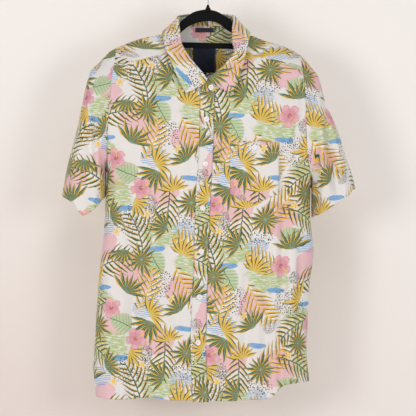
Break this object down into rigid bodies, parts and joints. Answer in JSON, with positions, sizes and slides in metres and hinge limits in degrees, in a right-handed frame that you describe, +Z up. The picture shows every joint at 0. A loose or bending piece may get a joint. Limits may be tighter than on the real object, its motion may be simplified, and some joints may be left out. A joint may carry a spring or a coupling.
{
  "type": "short-sleeved shirt on a hanger",
  "caption": "Short-sleeved button-up camp shirt with a pointed collar, one chest pocket and an all-over tropical print, hanging on a slim black hanger.",
  "frame": {"origin": "inside of the hook's crown, where a rail carries the hanger", "axes": "-Y out of the shirt's front, +X towards the wearer's left, +Z up"},
  "size_m": [0.6151, 0.1213, 0.8934],
  "materials": {
    "print_cloth": "matt plain weave with a printed pattern",
    "label_cloth": "woven satin label, blank",
    "button": "polished, translucent white",
    "hanger": "flocked",
    "hook": "polished wire"
  },
  "bodies": {
    "root": {"front_right": "print_cloth", "front_left": "print_cloth", "placket": "print_cloth", "pocket": "print_cloth", "back": "print_cloth", "yoke": "print_cloth", "sleeve_right": "print_cloth", "sleeve_left": "print_cloth", "collar_stand": "print_cloth", "collar": "print_cloth", "button_stand": "button", "button_1": "button", "button_2": "button", "button_3": "button", "button_4": "button", "button_5": "button", "button_6": "button", "button_pocket": "button", "label": "label_cloth", "label_small": "label_cloth", "size_tab": "label_cloth", "hanger": "hanger", "hanger_hook": "hook"}
  },
  "joints": []
}
